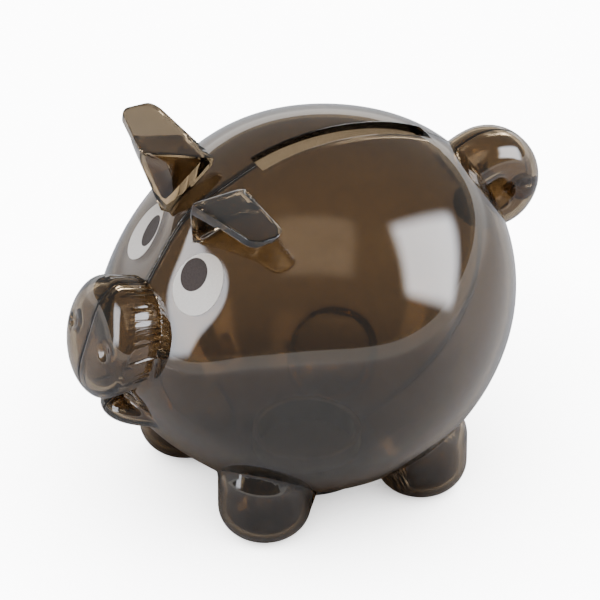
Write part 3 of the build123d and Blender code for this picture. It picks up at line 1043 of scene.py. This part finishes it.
@dataclass
class Stopper:
    """The push-in cup under the belly, with a rounded flange and a notch to lever it out."""

    material: bpy.types.Material
    flange_radius: float = 0.0158
    plug_radius: float = 0.01315
    bottom: float = 0.0010
    step: float = 0.0026
    top: float = 0.0090
    wall: float = 0.0016
    soft: float = 0.0003
    hollow_radii: tuple = (0.0120, 0.0116, 0.0060)
    notch_half_width: float = 0.0030
    notch_depth: float = 0.0012
    notch_ramp: float = 0.0008
    ring: int = 144

    def profile(self) -> np.ndarray:
        """Radius and height up the inside of the cup, down its outside, and under the flange."""
        soft, bore = self.soft, self.plug_radius - self.wall
        raised = self.bottom + soft
        edge, inner_edge, middle = self.hollow_radii
        return np.array([
            (bore, self.step + 0.0004), (bore, self.top - soft), (bore + soft, self.top),
            (self.plug_radius - soft, self.top), (self.plug_radius, self.top - soft),
            (self.plug_radius, self.step + 0.0002), (self.plug_radius + 0.0002, self.step),
            (self.flange_radius - soft, self.step), (self.flange_radius, self.step - soft),
            (self.flange_radius, raised), (self.flange_radius - soft, self.bottom), (edge, self.bottom),
            (inner_edge, raised), (middle, raised)])

    def build(self) -> bpy.types.Object:
        """Builds the cup by turning its profile, and presses the notch into the flange.

        Formula: points of the flange near +Y are pulled in to a flat chord, notch_depth inside the
        rim, with sides that ramp steeply.
        """
        profile = self.profile()
        angle = np.linspace(0, 2 * math.pi, self.ring, endpoint=False)
        x = profile[:, :1] * np.cos(angle)
        y = profile[:, :1] * np.sin(angle)
        z = np.broadcast_to(profile[:, 1:], x.shape)
        limit = self.flange_radius - self.notch_depth
        side = self.notch_half_width + self.notch_ramp / 2 - np.abs(x)
        share = np.clip(side / self.notch_ramp, 0.0, 1.0)
        in_flange = (profile[:, :1] > self.plug_radius + 0.0001) & (y > limit)
        y = np.where(in_flange, y + (limit - y) * share, y)
        rings = np.stack([x, y, z], axis=-1)
        poles = np.array([[0.0, 0.0, profile[0, 1]], [0.0, 0.0, profile[-1, 1]]])
        points = np.concatenate([rings.reshape(-1, 3), poles])
        piece = make_piece("belly_stopper", points, closed_faces(*rings.shape[:2]), self.material,
                           body=STOPPER_BODY, sharp=0.6)
        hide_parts("belly_plug")
        return piece


@dataclass(frozen=True)
class StudioPaper:
    """White paper with a painted contact shadow where the object touches it, that glows like the tent
    round it.
    """

    name: str = "studio_paper"
    low: tuple = (0.90, 0.90, 0.91)
    high: tuple = (0.92, 0.92, 0.93)
    painted_contact_shadow: tuple = (0.10, 0.095, 0.09)
    painted_shadow_reach: float = 0.07
    glow: float = 11.0
    tent_glow: float = 1.5
    tent_span: tuple = (0.25, 1.6)

    def material(self) -> bpy.types.Material:
        """Builds the paper: faint grain, a painted contact shadow, a bright front and a far, soft glow.

        Returns:
            The material.
        """
        build = Nodes(self.name)
        place = build.add("ShaderNodeTexCoord").outputs["Object"]
        grain = build.noise(place, scale=300.0, detail=3.0, stretch=(1.0, 1.0, 1.0))
        # Ambient occlusion paints a contact shadow into the paper's colour, darkening it to a near-black
        # where the object stands.
        near = build.add("ShaderNodeAmbientOcclusion")
        near.inputs["Distance"].default_value = self.painted_shadow_reach
        shade = build.add("ShaderNodeMix")
        shade.data_type = "RGBA"
        shade.inputs["A"].default_value = (*self.painted_contact_shadow, 1.0)
        build.link(near.outputs["AO"], shade.inputs["Factor"])
        build.link(build.blend(grain, self.low, self.high), shade.inputs["B"])
        # The camera-only glow is multiplied by the same occlusion, which paints the contact shadow into
        # what the camera sees.
        seen = build.maths("MULTIPLY", build.maths("MULTIPLY", near.outputs["AO"], self.glow),
                           build.add("ShaderNodeLightPath").outputs["Is Camera Ray"])
        distance = build.add("ShaderNodeVectorMath")
        distance.operation = "LENGTH"
        build.link(place, distance.inputs[0])
        tent = build.add("ShaderNodeMapRange")
        tent.interpolation_type = "SMOOTHSTEP"
        tent.inputs["From Min"].default_value, tent.inputs["From Max"].default_value = self.tent_span
        tent.inputs["To Max"].default_value = self.tent_glow
        build.link(distance.outputs["Value"], tent.inputs["Value"])
        surface = build.principled(ior=1.3, transmission=0.0)
        surface.inputs["Roughness"].default_value = 0.7
        surface.inputs["Emission Color"].default_value = (1.0, 1.0, 1.0, 1.0)
        build.link(shade.outputs["Result"], surface.inputs["Base Color"])
        build.link(build.maths("ADD", seen, tent.outputs["Result"]), surface.inputs["Emission Strength"])
        return build.finish(surface)


@dataclass(frozen=True)
class Softbox:
    """One softbox, placed by its direction from the object.

    The azimuth and the elevation are in degrees, from the front of the snout towards its left and
    above the floor; the roll turns the box about its own axis.  A shine box shows only as a
    reflection, and any other lights only dull surfaces.
    """

    name: str
    azimuth: float
    elevation: float
    distance: float
    size: tuple
    power: float
    roll: float
    shine: bool
    colour: tuple = (0.88, 0.92, 1.0)
    edge_fade: float = 0.22

    def light(self) -> bpy.types.AreaLight:
        """The light, whose strength fades smoothly to nothing at its four edges."""
        light = bpy.data.lights.new(self.name, "AREA")
        light.shape = "RECTANGLE"
        light.size, light.size_y = self.size
        light.energy = self.power
        light.color = self.colour
        light.use_nodes = True
        tree = light.node_tree
        across = tree.nodes.new("ShaderNodeSeparateXYZ")
        tree.links.new(tree.nodes.new("ShaderNodeNewGeometry").outputs["Parametric"], across.inputs[0])
        both = tree.nodes.new("ShaderNodeMath")
        both.operation = "MULTIPLY"
        for index, axis in enumerate("XY"):
            fade = tree.nodes.new("ShaderNodeMath")
            fade.operation = "PINGPONG"
            fade.inputs[1].default_value = 0.5
            tree.links.new(across.outputs[axis], fade.inputs[0])
            rise = tree.nodes.new("ShaderNodeMapRange")
            rise.interpolation_type = "SMOOTHSTEP"
            rise.inputs["From Max"].default_value = self.edge_fade
            tree.links.new(fade.outputs[0], rise.inputs["Value"])
            tree.links.new(rise.outputs["Result"], both.inputs[index])
        tree.links.new(both.outputs[0], tree.nodes["Emission"].inputs["Strength"])
        return light


@dataclass
class Studio:
    """The camera, the pale floor and the soft lights."""

    azimuth: float = math.radians(61.275)
    elevation: float = math.radians(33.547)
    distance: float = 1.656
    focal_length: float = 440.3
    look_at: tuple = (5.04, -4.30, 48.63)
    paper: StudioPaper = StudioPaper()
    floor_radius: float = 3.0
    level_radius: float = 1.6
    floor_rise: float = 0.35
    surround: float = 0.45
    aim_height: float = 0.04
    softboxes: tuple = (
        Softbox("rear_softbox", 149.0, 29.0, 1.0, (0.90, 0.90), 48.0, 40.0, shine=True),
        Softbox("front_softbox", -13.0, 24.0, 1.3, (0.42, 1.10), 19.0, 30.0, shine=True),
        Softbox("overhead_softbox", 60.0, 70.0, 1.3, (1.1, 1.1), 30.0, 0.0, shine=False))

    def direction(self, azimuth: float, elevation: float) -> Vector:
        """Unit vector from the object: azimuth 0 is in front of the snout, 90 degrees its left."""
        flat = math.cos(elevation)
        return Vector((math.sin(azimuth) * flat, -math.cos(azimuth) * flat, math.sin(elevation)))

    def place(self, thing: bpy.types.Object, where: Vector, target: Vector) -> None:
        """Puts a camera or lamp somewhere and points it at a target."""
        thing.location = where
        thing.rotation_euler = (where - target).to_track_quat("Z", "Y").to_euler()
        bpy.context.scene.collection.objects.link(thing)

    def camera(self) -> None:
        """A long lens at three-quarter view from above."""
        lens = bpy.data.cameras.new("camera")
        lens.lens = self.focal_length
        lens.sensor_width = 36.0
        lens.clip_end = 20.0
        camera = bpy.data.objects.new("camera", lens)
        target = Vector(mm(*self.look_at))
        self.place(camera, target + self.direction(self.azimuth, self.elevation) * self.distance, target)
        bpy.context.scene.camera = camera

    def floor(self) -> None:
        """A pale sweep.

        Formula: a disc, level near the object, that climbs with the square of the distance beyond.
        """
        rings, spokes = 40, 96
        radius = np.linspace(0.0, self.floor_radius, rings)[:, None]
        angle = np.linspace(0, 2 * math.pi, spokes, endpoint=False)[None, :]
        climb = np.clip((radius - self.level_radius) / (self.floor_radius - self.level_radius), 0.0, 1.0)
        height = self.floor_rise * climb**2 + 0.0 * angle
        grid = np.stack([radius * np.cos(angle), radius * np.sin(angle), height], axis=-1)
        faces = [tuple(face) for face in grid_faces(rings, spokes, 0, wrap=True).tolist()]
        mesh = bpy.data.meshes.new("studio_floor")
        mesh.from_pydata(grid.reshape(-1, 3).tolist(), [], faces)
        mesh.polygons.foreach_set("use_smooth", np.ones(len(mesh.polygons), dtype=bool))
        mesh.materials.append(self.paper.material())
        floor = bpy.data.objects.new("studio_floor", mesh)
        bpy.context.scene.collection.objects.link(floor)

    def lamp(self, box: Softbox) -> None:
        """Puts up one softbox, aimed at the object."""
        lamp = bpy.data.objects.new(box.name, box.light())
        target = Vector((0.0, 0.0, self.aim_height))
        outwards = self.direction(math.radians(box.azimuth), math.radians(box.elevation))
        self.place(lamp, target + outwards * box.distance, target)
        lamp.rotation_euler.rotate_axis("Z", math.radians(box.roll))
        lamp.visible_glossy = box.shine
        lamp.visible_diffuse = not box.shine

    def world(self) -> None:
        """A soft white surround."""
        world = bpy.data.worlds.new("studio_surround")
        world.use_nodes = True
        backdrop = world.node_tree.nodes["Background"]
        backdrop.inputs["Color"].default_value = (1.0, 1.0, 1.0, 1.0)
        backdrop.inputs["Strength"].default_value = self.surround
        bpy.context.scene.world = world

    def build(self) -> None:
        """Sets up the whole studio."""
        self.camera()
        self.floor()
        self.world()
        for box in self.softboxes:
            self.lamp(box)


def main() -> None:
    logging.basicConfig(level=logging.INFO, format="%(name)s %(message)s")
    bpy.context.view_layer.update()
    smoke = SmokePlastic().material()
    white = PrintedInk("white_ink", (0.84, 0.79, 0.73), (0.78, 0.73, 0.67)).material()
    dark = PrintedInk("dark_ink", (0.040, 0.027, 0.023), (0.055, 0.040, 0.034)).material()
    # A near-black finish for the strips in the parting gap: painted shade for the dark seam line.
    seam_shade = PrintedInk("painted_seam_shade", (0.008, 0.006, 0.005), (0.014, 0.011, 0.009)).material()
    Studio().build()
    for side in Side:
        HalfShell(side, smoke).build()
        Ear(side, smoke).build()
        PrintedEye(side, white, dark).build()
    tail = CurledTail(smoke)
    tail.build()
    SeamShadeStrip(seam_shade).build(tail)
    Stopper(StopperPlastic().material()).build()


if __name__ == "__main__":
    main()
